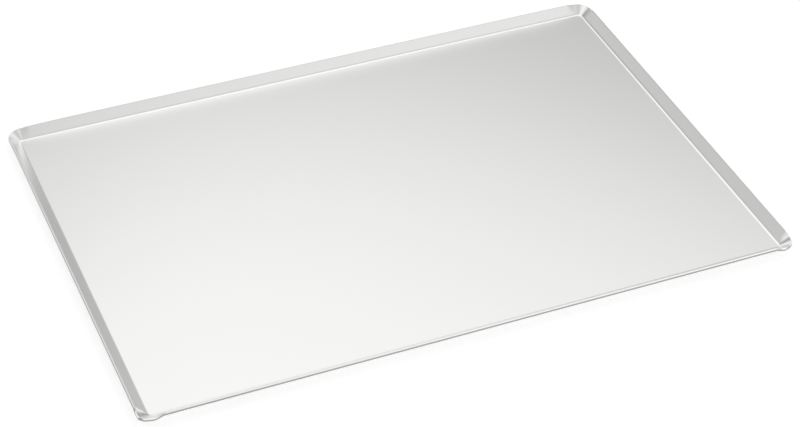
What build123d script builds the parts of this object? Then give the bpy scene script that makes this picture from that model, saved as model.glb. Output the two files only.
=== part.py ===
from build123d import *
from math import cos, pi, radians, sin
import os

# A flat baking sheet, pressed in one stroke from a blank of aluminium.
# The floor is flat. The border of the blank is bent up all round into a low
# rim that leans outwards, and the four corners are drawn without a cut.
# The rim leans out flatter round each corner, so its top dips there.
# X runs along the long sides, Z is up, and the underside of the floor is z = 0.

# Outside size, over the rim
length = 432.0
width = 305.0

# The sheet, and its border that is bent up along a side, measured along the middle layer
sheet = 2.0
side_border = 10.8

# Inside radius of the bend between floor and rim
bend_radius = 3.0

# Lean of the rim in degrees up from the floor, along the sides and at mid corner
side_flare = 45.0
corner_flare = 36.0

# Floor corner in plan, and how far along each side the lean changes
floor_corner_radius = 1.5
relax_length = 6.0

# The cut edge: rolled over on the outside by the shears, deburred on the inside
outer_edge_round = 0.8
inner_edge_round = 0.3

# Sections of the lofts, along the end of a side and round a corner
side_span_count = 4
corner_span_count = 8

# Distances along the edge of the flat floor, counted from mid corner
half_turn = floor_corner_radius * pi / 4
lean_end = half_turn + relax_length


def lean(distance):
    """Lean of the rim, which eases from mid corner to the side and stays there."""
    share = min(abs(distance) / lean_end, 1)
    return corner_flare + (side_flare - corner_flare) * (1 - cos(pi * share)) / 2


def reach(flare, flat):
    """How far the rounded cut edge stands out past the edge of the flat floor."""
    across = cos(radians(flare))
    up = sin(radians(flare))
    rounded_off = outer_edge_round * (across + up - 1)
    return (bend_radius + sheet) * up + flat * across - rounded_off


# Straight part of the rim along a side, which is what the bend leaves of the border,
# and how far the rim stands out there. The blank's corners are clipped just enough
# for the cut edge to run straight in plan up to the turn, and round it
side_flat = side_border - (bend_radius + sheet / 2) * radians(side_flare)
rim_reach = reach(side_flare, side_flat)


def clipped_flat(flare):
    """Straight part of the rim that brings the cut edge out as far as along a side."""
    return (rim_reach - reach(flare, 0)) / cos(radians(flare))


# Edge of the flat floor, inside the bend, and the pivot of each corner
floor_x = length / 2 - rim_reach
floor_y = width / 2 - rim_reach
pivot_x = floor_x - floor_corner_radius
pivot_y = floor_y - floor_corner_radius


def rim_plane(distance):
    """Upright plane across the rim: back along a side, or turned round the corner."""
    turn = 45 * (1 - max(-1, min(distance / half_turn, 1)))
    past_turn = distance - max(-half_turn, min(distance, half_turn))
    outwards = Vector(cos(radians(turn)), sin(radians(turn)), 0)
    onwards = Vector(sin(radians(turn)), -cos(radians(turn)), 0)
    start = Vector(pivot_x, pivot_y, 0) + outwards * floor_corner_radius + onwards * past_turn
    return Plane(origin=start, x_dir=outwards, z_dir=onwards)


def rim_section(distance):
    """Bend, leaning flat and square cut edge of the rim, as one closed outline."""
    flare = lean(distance)
    flat = clipped_flat(flare)
    with BuildSketch(rim_plane(distance)) as section:
        with BuildLine():
            underside = JernArc((0, 0), (1, 0), bend_radius + sheet, flare)
            outside = PolarLine(underside @ 1, flat, flare)
            cut_edge = PolarLine(outside @ 1, sheet, flare + 90)
            PolarLine(cut_edge @ 1, flat, flare + 180)
            JernArc((0, sheet), (1, 0), bend_radius, flare)
            Line((0, sheet), (0, 0))
        make_face()
        fillet(section.vertices().sort_by(Axis.X)[-1], radius=outer_edge_round)
        fillet(section.vertices().sort_by(Axis.Y)[-1], radius=inner_edge_round)
    return section.sketch


def rim_sections(start, end, spans):
    """Sections at even steps along the edge of the floor."""
    return [rim_section(start + (end - start) * step / spans) for step in range(spans + 1)]


with BuildPart() as pressed_sheet:
    # One quarter of the flat floor
    with BuildSketch() as floor:
        Rectangle(floor_x, floor_y, align=Align.MIN)
        corner = floor.vertices().sort_by(Axis.X)[-2:].sort_by(Axis.Y)[-1]
        fillet(corner, radius=floor_corner_radius)
    extrude(amount=sheet)

    # Straight rim, from the middle of each side to where its lean starts to change
    extrude(rim_section(-lean_end), amount=relax_length - pivot_x)
    extrude(rim_section(lean_end), amount=pivot_y - relax_length)

    # The ends of the two sides, and the drawn corner between them
    loft(rim_sections(-lean_end, -half_turn, side_span_count))
    loft(rim_sections(-half_turn, half_turn, corner_span_count))
    loft(rim_sections(half_turn, lean_end, side_span_count))

    # The other three quarters
    mirror(about=Plane.YZ)
    mirror(about=Plane.XZ)

pressed_sheet.part.label = "pressed_sheet"
os.makedirs("parts", exist_ok=True)
export_step(pressed_sheet.part, "parts/pressed_sheet.step")
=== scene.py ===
from math import cos, pi, radians, sin

import bpy
from mathutils import Matrix, Vector


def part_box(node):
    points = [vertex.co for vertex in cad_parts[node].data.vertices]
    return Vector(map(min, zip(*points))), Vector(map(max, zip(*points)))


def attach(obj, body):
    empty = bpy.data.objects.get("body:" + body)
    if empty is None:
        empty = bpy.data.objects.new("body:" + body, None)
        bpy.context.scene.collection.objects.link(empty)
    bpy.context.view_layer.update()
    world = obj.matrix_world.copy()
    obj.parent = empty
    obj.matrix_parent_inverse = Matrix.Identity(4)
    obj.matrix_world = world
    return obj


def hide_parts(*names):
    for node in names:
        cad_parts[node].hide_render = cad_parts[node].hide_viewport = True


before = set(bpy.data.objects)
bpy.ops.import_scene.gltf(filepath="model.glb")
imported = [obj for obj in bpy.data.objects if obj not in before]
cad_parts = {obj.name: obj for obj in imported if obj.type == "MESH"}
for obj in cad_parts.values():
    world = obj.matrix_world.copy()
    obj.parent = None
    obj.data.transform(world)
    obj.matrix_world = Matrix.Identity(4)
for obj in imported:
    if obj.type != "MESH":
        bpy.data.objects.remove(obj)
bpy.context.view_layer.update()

# The camera looks down on the near long side, turned towards the left end.
# Its place and lens come from the way the four sides of the sheet run together.
mm = 0.001
camera_turn = radians(-22.53)
camera_height = radians(38.0)
camera_roll = radians(0.36)
camera_distance = 1452.7 * mm
camera_target = Vector((-0.9, -21.0, 0)) * mm
camera_lens = 101.4

backwards = Vector((
    sin(camera_turn) * cos(camera_height),
    -cos(camera_turn) * cos(camera_height),
    sin(camera_height),
))
level_right = backwards.cross(Vector((0, 0, -1))).normalized()
level_up = backwards.cross(level_right)
camera_right = level_right * cos(camera_roll) + level_up * sin(camera_roll)
camera_up = level_up * cos(camera_roll) - level_right * sin(camera_roll)
camera_data = bpy.data.cameras.new("camera")
camera_data.lens = camera_lens
camera = bpy.data.objects.new("camera", camera_data)
camera.matrix_world = (
    Matrix.Translation(camera_target + backwards * camera_distance)
    @ Matrix((camera_right, camera_up, backwards)).transposed().to_4x4()
)
bpy.context.scene.collection.objects.link(camera)
bpy.context.scene.camera = camera


# White studio table, wide enough to fill every view. It is matt white, with enough
# glow of its own to come out white, and it keeps the soft shadow under the rim.
table_radius = 5000 * mm
table_gap = 0.2 * mm
table_white = "#e6e6e6"
table_glow = 0.455


def linear(hex_colour):
    """Linear RGBA of an sRGB hex colour."""
    values = [int(hex_colour[start:start + 2], 16) / 255 for start in (1, 3, 5)]
    return [v / 12.92 if v <= 0.04045 else ((v + 0.055) / 1.055) ** 2.4 for v in values] + [1]


def add_node(tree, kind, *inputs, **settings):
    """Adds a node with its settings. An input is a value, an output to link, or None to leave.
    Gives back the node's outputs by name."""
    node = tree.nodes.new(kind)
    for name, value in settings.items():
        setattr(node, name, value)
    for socket, value in zip([socket for socket in node.inputs if socket.enabled], inputs):
        if isinstance(value, bpy.types.NodeSocket):
            tree.links.new(value, socket)
        elif value is not None:
            socket.default_value = value
    return {socket.name: socket for socket in node.outputs if socket.enabled}


table_mesh = bpy.data.meshes.new("table")
table_corners = [(-1, -1), (1, -1), (1, 1), (-1, 1)]
table_mesh.from_pydata(
    [(x * table_radius, y * table_radius, -table_gap) for x, y in table_corners], [], [(0, 1, 2, 3)]
)
table = bpy.data.objects.new("table", table_mesh)
bpy.context.scene.collection.objects.link(table)
white_laminate = bpy.data.materials.new("white_laminate")
white_laminate.use_nodes = True
tree = white_laminate.node_tree
tree.nodes.clear()
light_path = add_node(tree, "ShaderNodeLightPath")
seen = add_node(
    tree, "ShaderNodeMath", light_path["Is Camera Ray"], light_path["Is Glossy Ray"], operation="MAXIMUM"
)["Value"]
seen = add_node(
    tree, "ShaderNodeMath", seen, light_path["Is Transmission Ray"], operation="MAXIMUM"
)["Value"]
glow = add_node(tree, "ShaderNodeMath", seen, table_glow, operation="MULTIPLY")["Value"]
matt = add_node(tree, "ShaderNodeBsdfDiffuse", linear(table_white))["BSDF"]
shine = add_node(tree, "ShaderNodeEmission", (1, 1, 1, 1), glow)["Emission"]
surface = add_node(tree, "ShaderNodeAddShader", matt, shine)["Shader"]
add_node(tree, "ShaderNodeOutputMaterial", surface)
table_mesh.materials.append(white_laminate)

# The room round the table: pale walls, a ceiling and a soft box, each a broad patch of
# light on the world, even in its middle and faded out towards its edge.
room_level = 0.30
# Each patch: way to it, strength, and degrees from its middle to where it is full and gone
room_patches = {
    "ceiling": ((0, 0.10, 1), 0.36, 20, 50),
    "front soft box": ((0.45, -0.62, 0.64), 0.50, 5, 30),
    "front wall": ((0.20, -0.95, 0.20), 0.42, 20, 50),
    "front wall, left": ((-0.30, -0.90, 0.30), 0.30, 5, 40),
    "front wall, right": ((0.60, -0.75, 0.25), 0.20, 5, 35),
    "left wall": ((-0.60, 0.20, 0.75), 0.44, 5, 40),
    "back wall, left": ((-0.62, 0.77, 0.16), 0.52, 5, 22),
    "back wall": ((0.08, 0.95, 0.30), 0.40, 5, 30),
    "back window": ((0.50, 0.74, 0.45), 0.08, 2, 12),
    "right wall": ((0.90, 0.20, 0.30), 0.62, 5, 45),
    "foot of back wall": ((0.12, 0.98, 0.10), 0.40, 8, 22),
}

world = bpy.data.worlds.new("studio")
world.use_nodes = True
tree = world.node_tree
tree.nodes.clear()
direction = add_node(tree, "ShaderNodeTexCoord")["Generated"]
level = room_level
for way, strength, full_degrees, gone_degrees in room_patches.values():
    nearness = add_node(
        tree, "ShaderNodeVectorMath", direction, Vector(way).normalized(), operation="DOT_PRODUCT"
    )["Value"]
    patch = add_node(
        tree, "ShaderNodeMapRange", nearness, cos(radians(gone_degrees)), cos(radians(full_degrees)),
        0, strength, interpolation_type="SMOOTHSTEP",
    )["Result"]
    level = add_node(tree, "ShaderNodeMath", level, patch, operation="ADD")["Value"]
sky = add_node(tree, "ShaderNodeBackground", (1, 1, 1, 1), level)["Background"]
add_node(tree, "ShaderNodeOutputWorld", sky)
bpy.context.scene.world = world

# Diffusion screen over the back of the table, lit from behind, even in the middle and faded
# out towards its edge. Its reflection makes the bright sweep over the floor of the sheet.
screen_middle = Vector((600, 1250, 1500)) * mm
screen_even_radius = 600 * mm
screen_radius = 1100 * mm
screen_level = 0.62

screen_mesh = bpy.data.meshes.new("diffusion_screen")
screen_mesh.from_pydata(
    [
        (screen_middle.x + x * screen_radius, screen_middle.y + y * screen_radius, screen_middle.z)
        for x, y in table_corners
    ],
    [], [(3, 2, 1, 0)],
)
screen = bpy.data.objects.new("diffusion_screen", screen_mesh)
bpy.context.scene.collection.objects.link(screen)
screen.visible_camera = False
screen.visible_shadow = False
lit_fabric = bpy.data.materials.new("lit_fabric")
lit_fabric.use_nodes = True
tree = lit_fabric.node_tree
tree.nodes.clear()
place = add_node(tree, "ShaderNodeTexCoord")["Object"]
away = add_node(tree, "ShaderNodeVectorMath", place, screen_middle, operation="DISTANCE")["Value"]
fade = add_node(
    tree, "ShaderNodeMapRange", away, screen_even_radius, screen_radius, screen_level, 0,
    interpolation_type="SMOOTHSTEP",
)["Result"]
clear = add_node(tree, "ShaderNodeBsdfTransparent")["BSDF"]
shine = add_node(tree, "ShaderNodeEmission", (1, 1, 1, 1), fade)["Emission"]
surface = add_node(tree, "ShaderNodeAddShader", clear, shine)["Shader"]
add_node(tree, "ShaderNodeOutputMaterial", surface)
screen_mesh.materials.append(lit_fabric)

# The sheet itself: one blank of 2 mm rolled aluminium with clipped corners. One stroke of
# the press bends its border up all round and draws the four corners. A flat grid stands
# for the blank's skin, and the tree bends it as the press does.
lowest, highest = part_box("pressed_sheet")
sheet = 2.0 * mm
bend_radius = 3.0 * mm
side_border = 10.8 * mm
side_lean = radians(45)
floor_radius = 1.5 * mm
outer_round = 0.8 * mm
inner_round = 0.3 * mm
# Next to the bend of the back side the floor rises a little, and less near the two ends. The
# rim leans out flatter there, so that its top stays as high as the others'
dish_rise = 0.25 * mm
dish_width = 14 * mm
dish_fade = 40 * mm
dished_lean = radians(42.2)
# How far the cut edge stands out past the floor: it keeps to that line at the corners
side_flat = side_border - (bend_radius + sheet / 2) * side_lean
rounded_off = outer_round * (cos(side_lean) + sin(side_lean) - 1)
side_reach = (bend_radius + sheet) * sin(side_lean) + side_flat * cos(side_lean) - rounded_off
# Bright where the rolls and the press have smoothed it, grey where the shears tore it.
# The grey is partly painted shade: darker than torn metal, for the shaded table that the lower edge mirrors
skin_colour = "#f4f4f3"
skin_roughness = 0.25
torn_and_shade_colour = "#b2b2b0"
torn_roughness = 0.5
# How far along a long side the lean changes
side_relax = 6.0 * mm
# No two corners leave the press quite alike. Each has the lean of its rim, the radius of its
# cut edge in plan, and how far along the end of the sheet its lean changes
corner_forms = {
    "back right": (radians(37), 10.1 * mm, 6 * mm),
    "back left": (radians(39), 10.1 * mm, 16 * mm),
    "front left": (radians(32.5), 4.2 * mm, 1.5 * mm),
    "front right": (radians(34.5), 9.5 * mm, 4 * mm),
}
press_sizes = {
    "Length": highest.x - lowest.x,
    "Width": highest.y - lowest.y,
    "Sheet": sheet,
    "Bend radius": bend_radius,
    "Side reach": side_reach,
    "Full lean": side_lean,
    "Dished lean": dished_lean,
    "Dish rise": dish_rise,
    "Dish width": dish_width,
    "Dish fade": dish_fade,
    "Floor radius": floor_radius,
    "Side relax": side_relax,
    "Outer round": outer_round,
    "Inner round": inner_round,
}
for corner, (lean, outline, end_relax) in corner_forms.items():
    press_sizes["Lean " + corner] = lean
    press_sizes["Outline " + corner] = outline
    press_sizes["End relax " + corner] = end_relax

# Rows of the grid from mid floor to mid cut edge: as many again come back underneath
stretches = {"floor": 24, "bend": 12, "flat": 8, "rounding": 8, "cut": 2}
half_rows = sum(stretches.values())
# Rows of the floor, crowded at its edge by this power
floor_crowding = 2.5
# Columns from each mid corner to the middle of a side, crowded at the corner: their step starts
# as if the first run were all, and grows with this power of the way
half_side_columns = 96
corner_count = len(corner_forms)
columns = 2 * corner_count * half_side_columns
first_run = 10 * mm
crowding = 5
seam_gap = 0.001 * mm

# The press in sums, one a line: its name, what is done, and the sizes, numbers and earlier
# sums that it is done to. A sum whose name ends in share is held between 0 and 1.
# First, where a point lies: its row from mid floor, and above or beneath the sheet
press_sums = [
    ("off cut", "ABSOLUTE", "across"),
    ("row", "MULTIPLY_ADD", "off cut", -2 * half_rows, half_rows),
    ("beneath", "GREATER_THAN", "across", 0),
    ("layer sign", "MULTIPLY_ADD", "beneath", -2, 1),
]
first_row = 0
for stretch, rows in stretches.items():
    press_sums += [
        (stretch + " rows", "SUBTRACT", "row", first_row),
        (stretch + " share", "DIVIDE", stretch + " rows", rows),
    ]
    first_row += rows

# Which corner it belongs to, from 0 at the back right to 3 at the front right, and how far
# from mid corner: -1 at the middle of the end, 1 at the middle of the long side
between_left_corners = 1.5
# Corner numbers are compared within this slack: more than a half, less than one
count_slack = 0.6
press_sums += [
    ("turns", "MULTIPLY_ADD", "around", corner_count, corner_count / 2),
    ("whole turns", "FLOOR", "turns"),
    ("corner", "MINIMUM", "whole turns", corner_count - 1),
    ("odd", "MODULO", "corner", 2),
    ("course", "MULTIPLY_ADD", "odd", -2, 1),
    ("past start", "SUBTRACT", "turns", "corner"),
    ("past corner", "MULTIPLY_ADD", "past start", 2, -1),
    ("along", "MULTIPLY", "past corner", "course"),
    ("at left", "COMPARE", "corner", between_left_corners, count_slack),
    ("x sign", "MULTIPLY_ADD", "at left", -2, 1),
    ("at front", "GREATER_THAN", "corner", between_left_corners),
    ("at back", "SUBTRACT", 1, "at front"),
    ("y sign", "MULTIPLY_ADD", "at front", -2, 1),
    ("corner lean", "MULTIPLY", "corner", 0),
    ("corner outline", "MULTIPLY", "corner", 0),
    ("end relax", "MULTIPLY", "corner", 0),
]
for index, corner in enumerate(corner_forms):
    press_sums += [
        ("chosen", "COMPARE", "corner", index, count_slack),
        ("corner lean", "MULTIPLY_ADD", "chosen", "Lean " + corner, "corner lean"),
        ("corner outline", "MULTIPLY_ADD", "chosen", "Outline " + corner, "corner outline"),
        ("end relax", "MULTIPLY_ADD", "chosen", "End relax " + corner, "end relax"),
    ]

# Distance from mid corner along the edge of the flat floor, and the lean of the rim there
press_sums += [
    ("half length", "MULTIPLY", "Length", 0.5),
    ("half width", "MULTIPLY", "Width", 0.5),
    ("floor x", "SUBTRACT", "half length", "Side reach"),
    ("floor y", "SUBTRACT", "half width", "Side reach"),
    ("pivot x", "SUBTRACT", "floor x", "Floor radius"),
    ("pivot y", "SUBTRACT", "floor y", "Floor radius"),
    ("half turn", "MULTIPLY", "Floor radius", pi / 4),
    ("on long side", "GREATER_THAN", "along", 0),
    ("longer by", "SUBTRACT", "pivot x", "pivot y"),
    ("straight", "MULTIPLY_ADD", "on long side", "longer by", "pivot y"),
    ("whole run", "ADD", "half turn", "straight"),
    ("way share", "ABSOLUTE", "along"),
    ("crowded share", "POWER", "way share", crowding),
    ("rest of run", "SUBTRACT", "whole run", first_run),
    ("even run", "MULTIPLY", "way share", first_run),
    ("off corner", "MULTIPLY_ADD", "crowded share", "rest of run", "even run"),
    ("side sign", "SIGN", "along"),
    ("distance", "MULTIPLY", "off corner", "side sign"),
    ("relax gain", "SUBTRACT", "Side relax", "end relax"),
    ("relax", "MULTIPLY_ADD", "on long side", "relax gain", "end relax"),
    ("lean end", "ADD", "half turn", "relax"),
    ("relaxed share", "DIVIDE", "off corner", "lean end"),
    ("swing", "MULTIPLY", "relaxed share", pi),
    ("swing cosine", "COSINE", "swing"),
    ("side share", "MULTIPLY_ADD", "swing cosine", -0.5, 0.5),
    ("on dished side", "MULTIPLY", "on long side", "at back"),
    ("dished gain", "SUBTRACT", "Dished lean", "Full lean"),
    ("full lean", "MULTIPLY_ADD", "on dished side", "dished gain", "Full lean"),
    ("lean gain", "SUBTRACT", "full lean", "corner lean"),
    ("lean", "MULTIPLY_ADD", "lean gain", "side share", "corner lean"),
]

# Place on the edge of the floor, and the way out from it: round the corner, then straight
press_sums += [
    ("no further", "MINIMUM", "distance", "half turn"),
    ("half turn back", "MULTIPLY", "half turn", -1),
    ("turned", "MAXIMUM", "no further", "half turn back"),
    ("past turn", "SUBTRACT", "distance", "turned"),
    ("part turned", "DIVIDE", "turned", "half turn"),
    ("facing", "MULTIPLY_ADD", "part turned", pi / 4, pi / 4),
    ("out x", "COSINE", "facing"),
    ("out y", "SINE", "facing"),
    ("round x", "MULTIPLY_ADD", "out x", "Floor radius", "pivot x"),
    ("round y", "MULTIPLY_ADD", "out y", "Floor radius", "pivot y"),
    ("back along x", "MAXIMUM", "past turn", 0),
    ("back along y", "MINIMUM", "past turn", 0),
    ("edge x", "SUBTRACT", "round x", "back along x"),
    ("edge y", "ADD", "round y", "back along y"),
]

# The floor: its rows are the outline of its edge drawn in. At the back it rises, less near the
# ends, with the cube of the way into the dish. So its slope grows with the square of that way,
# and the bend starts at that slope
press_sums += [
    ("still inside share", "SUBTRACT", 1, "floor share"),
    ("inside share", "POWER", "still inside share", floor_crowding),
    ("grown share", "SUBTRACT", 1, "inside share"),
    ("inset x", "MULTIPLY", "edge x", "grown share"),
    ("inset y", "MULTIPLY", "edge y", "grown share"),
    ("dish start", "SUBTRACT", "floor y", "Dish width"),
    ("into dish", "SUBTRACT", "inset y", "dish start"),
    ("dish share", "DIVIDE", "into dish", "Dish width"),
    ("from end", "SUBTRACT", "floor x", "inset x"),
    ("ways from end", "DIVIDE", "from end", "Dish fade"),
    ("near end share", "SUBTRACT", 1, "ways from end"),
    ("faded share", "POWER", "near end share", 2),
    ("kept share", "SUBTRACT", "at back", "faded share"),
    ("full rise", "MULTIPLY", "Dish rise", "kept share"),
    ("rise share", "POWER", "dish share", 3),
    ("rise", "MULTIPLY", "full rise", "rise share"),
    ("steepness share", "POWER", "dish share", 2),
    ("steepest rise", "MULTIPLY", "full rise", 3),
    ("steepest", "DIVIDE", "steepest rise", "Dish width"),
    ("slope", "MULTIPLY", "steepest", "steepness share"),
    ("first lean", "MULTIPLY", "slope", "out y"),
    ("first across", "COSINE", "first lean"),
    ("first up", "SINE", "first lean"),
]

# Reach of the rim. Seen from the pivot, the cut edge lies on a straight line in plan, and
# then on the round of the corner, whose middle is as far out both ways
press_sums += [
    ("full radius", "ADD", "Floor radius", "Side reach"),
    ("outline", "MINIMUM", "corner outline", "full radius"),
    ("middle out", "SUBTRACT", "full radius", "outline"),
    ("main way", "MAXIMUM", "out x", "out y"),
    ("side way", "MINIMUM", "out x", "out y"),
    ("to line", "DIVIDE", "full radius", "main way"),
    ("line run", "MULTIPLY", "to line", "side way"),
    ("on line", "LESS_THAN", "line run", "middle out"),
    ("ways", "ADD", "main way", "side way"),
    ("ways apart", "SUBTRACT", "main way", "side way"),
    ("off middle", "MULTIPLY", "ways apart", "middle out"),
    ("off squared", "POWER", "off middle", 2),
    ("outline squared", "POWER", "outline", 2),
    ("chord squared", "SUBTRACT", "outline squared", "off squared"),
    ("half chord", "SQRT", "chord squared"),
    ("to round", "MULTIPLY_ADD", "ways", "middle out", "half chord"),
    ("line gain", "SUBTRACT", "to line", "to round"),
    ("to cut edge", "MULTIPLY_ADD", "line gain", "on line", "to round"),
    ("reach", "SUBTRACT", "to cut edge", "Floor radius"),
]

# Length of the bend and of the straight flat beyond it, which brings the cut edge to its reach
press_sums += [
    ("half sheet", "MULTIPLY", "Sheet", 0.5),
    ("middle radius", "ADD", "Bend radius", "half sheet"),
    ("outer radius", "ADD", "Bend radius", "Sheet"),
    ("lean across", "COSINE", "lean"),
    ("lean up", "SINE", "lean"),
    ("left to lean", "SUBTRACT", "lean", "first lean"),
    ("bend run", "MULTIPLY", "middle radius", "left to lean"),
    ("first out", "MULTIPLY", "middle radius", "first up"),
    ("past first", "ADD", "reach", "first out"),
    ("bend reach", "MULTIPLY", "outer radius", "lean up"),
    ("flat reach", "SUBTRACT", "past first", "bend reach"),
    ("both ways", "ADD", "lean across", "lean up"),
    ("off the corner", "SUBTRACT", "both ways", 1),
    ("square reach", "MULTIPLY_ADD", "off the corner", "Outer round", "flat reach"),
    ("flat", "DIVIDE", "square reach", "lean across"),
]

# The point on the flat blank: how far out over the border, and how far off the middle layer
press_sums += [
    ("round gain", "SUBTRACT", "Outer round", "Inner round"),
    ("rounding", "MULTIPLY_ADD", "beneath", "round gain", "Inner round"),
    ("flat run", "SUBTRACT", "flat", "rounding"),
    ("round turn", "MULTIPLY", "rounding share", pi / 2),
    ("round sine", "SINE", "round turn"),
    ("round cosine", "COSINE", "round turn"),
    ("out on bend", "MULTIPLY", "bend share", "bend run"),
    ("out on flat", "MULTIPLY_ADD", "flat share", "flat run", "out on bend"),
    ("blank out", "MULTIPLY_ADD", "round sine", "rounding", "out on flat"),
    ("cut height", "SUBTRACT", "half sheet", "rounding"),
    ("cut left", "SUBTRACT", 1, "cut share"),
    ("above middle", "MULTIPLY", "cut left", "cut height"),
    ("skin height", "MULTIPLY_ADD", "round cosine", "rounding", "above middle"),
    ("blank up", "MULTIPLY", "skin height", "layer sign"),
]

# The bend: the middle layer keeps its length
press_sums += [
    ("free turn", "DIVIDE", "blank out", "middle radius"),
    ("free bend", "ADD", "free turn", "first lean"),
    ("bent", "MINIMUM", "free bend", "lean"),
    ("past bend", "SUBTRACT", "blank out", "bend run"),
    ("straight out", "MAXIMUM", "past bend", 0),
    ("radius", "SUBTRACT", "middle radius", "blank up"),
    ("bent across", "COSINE", "bent"),
    ("bent up", "SINE", "bent"),
    ("from middle", "MULTIPLY", "radius", "bent up"),
    ("swept out", "SUBTRACT", "from middle", "first out"),
    ("outwards", "MULTIPLY_ADD", "straight out", "bent across", "swept out"),
    ("dropped", "MULTIPLY", "radius", "bent across"),
    ("first height", "MULTIPLY_ADD", "first across", "middle radius", "half sheet"),
    ("raised", "ADD", "first height", "rise"),
    ("bend height", "SUBTRACT", "raised", "dropped"),
    ("height", "MULTIPLY_ADD", "straight out", "bent up", "bend height"),
    ("plan x", "MULTIPLY_ADD", "out x", "outwards", "inset x"),
    ("plan y", "MULTIPLY_ADD", "out y", "outwards", "inset y"),
    ("x", "MULTIPLY", "plan x", "x sign"),
    ("y", "MULTIPLY", "plan y", "y sign"),
]

# The lower part of the cut edge is where the shears tore the sheet instead of cutting it.
# The same mask carries painted shade there, for the shaded table that this edge mirrors
press_sums += [
    ("on rounding", "GREATER_THAN", "rounding share", 0),
    ("torn", "MULTIPLY", "on rounding", "beneath"),
]


def press_tree():
    """The tree that bends the blank. The grid's X runs over the skin from the middle of the
    floor, round the cut edge and back underneath, and its Y runs once round the rim."""
    tree = bpy.data.node_groups.new("press", "GeometryNodeTree")
    tree.is_modifier = True
    for name in press_sizes:
        tree.interface.new_socket(name, in_out="INPUT", socket_type="NodeSocketFloat")
    tree.interface.new_socket("Metal", in_out="INPUT", socket_type="NodeSocketMaterial")
    tree.interface.new_socket("Pressed sheet", in_out="OUTPUT", socket_type="NodeSocketGeometry")
    inputs = add_node(tree, "NodeGroupInput")
    grid = add_node(tree, "GeometryNodeMeshGrid", 1, 1, 2 * half_rows + 1, columns + 1)["Mesh"]
    place = add_node(tree, "GeometryNodeInputPosition")["Position"]
    around = add_node(tree, "ShaderNodeSeparateXYZ", place)

    sums = {name: inputs[name] for name in press_sizes}
    sums.update({"across": around["X"], "around": around["Y"]})
    for name, operation, *values in press_sums:
        values = [sums.get(value, value) for value in values]
        held = name.endswith("share")
        sums[name] = add_node(tree, "ShaderNodeMath", *values, operation=operation, use_clamp=held)["Value"]

    pressed = add_node(tree, "ShaderNodeCombineXYZ", sums["x"], sums["y"], sums["height"])["Vector"]
    metal = add_node(tree, "GeometryNodeStoreNamedAttribute", grid, None, "torn", sums["torn"])["Geometry"]
    metal = add_node(tree, "GeometryNodeSetPosition", metal, None, pressed)["Geometry"]
    metal = add_node(tree, "GeometryNodeMergeByDistance", metal, None, seam_gap)["Geometry"]
    metal = add_node(tree, "GeometryNodeSetShadeSmooth", metal)["Geometry"]
    metal = add_node(tree, "GeometryNodeRealizeInstances", metal)["Geometry"]
    metal = add_node(tree, "GeometryNodeSetMaterial", metal, None, inputs["Metal"])["Geometry"]
    add_node(tree, "NodeGroupOutput", metal)
    return tree


def satin_aluminium():
    """Rolled aluminium, uncoated. The rolls leave a bright satin skin with fine lines along the
    sheet, and the torn part of the cut edge is dull and grey. Its grey is partly painted shade,
    darker than torn metal, for the shaded table beneath that it mirrors."""
    grain_length = 9 * mm
    # The real lines are a tenth as wide, too fine to show
    grain_width = 0.9 * mm
    grain_depth = 0.001 * mm
    grain_detail = 2
    material = bpy.data.materials.new("satin_rolled_aluminium")
    material.use_nodes = True
    tree = material.node_tree
    tree.nodes.clear()
    place = add_node(tree, "ShaderNodeTexCoord")["Object"]
    fineness = (1 / grain_length, 1 / grain_width, 1 / grain_width)
    lines = add_node(tree, "ShaderNodeVectorMath", place, fineness, operation="MULTIPLY")["Vector"]
    grain = add_node(tree, "ShaderNodeTexNoise", lines, 1, grain_detail)["Fac"]
    bumps = add_node(tree, "ShaderNodeBump", 1, grain_depth, None, grain)["Normal"]
    torn = add_node(tree, "ShaderNodeAttribute", attribute_name="torn")["Fac"]
    # Painted shade: the torn edge is mixed darker than torn metal is, for the shaded table it mirrors
    colour = add_node(
        tree, "ShaderNodeMix", torn, linear(skin_colour), linear(torn_and_shade_colour), data_type="RGBA"
    )["Result"]
    roughness = add_node(tree, "ShaderNodeMix", torn, skin_roughness, torn_roughness)["Result"]
    shader = add_node(tree, "ShaderNodeBsdfPrincipled", colour, 1, roughness, None, None, bumps)["BSDF"]
    add_node(tree, "ShaderNodeOutputMaterial", shader)
    return material


pressed_sheet = bpy.data.objects.new("pressed_sheet_metal", bpy.data.meshes.new("blank"))
bpy.context.scene.collection.objects.link(pressed_sheet)
press = pressed_sheet.modifiers.new("press", "NODES")
press.node_group = press_tree()
press_inputs = {**press_sizes, "Metal": satin_aluminium()}
for item in press.node_group.interface.items_tree:
    if item.in_out == "INPUT":
        press[item.identifier] = press_inputs[item.name]
bpy.context.view_layer.update()
finished = pressed_sheet.evaluated_get(bpy.context.evaluated_depsgraph_get())
sheet_mesh = bpy.data.meshes.new_from_object(finished)
pressed_sheet.modifiers.remove(press)
pressed_sheet.data = sheet_mesh
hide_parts("pressed_sheet")
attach(pressed_sheet, "root")

bpy.context.scene.view_settings.view_transform = "Standard"
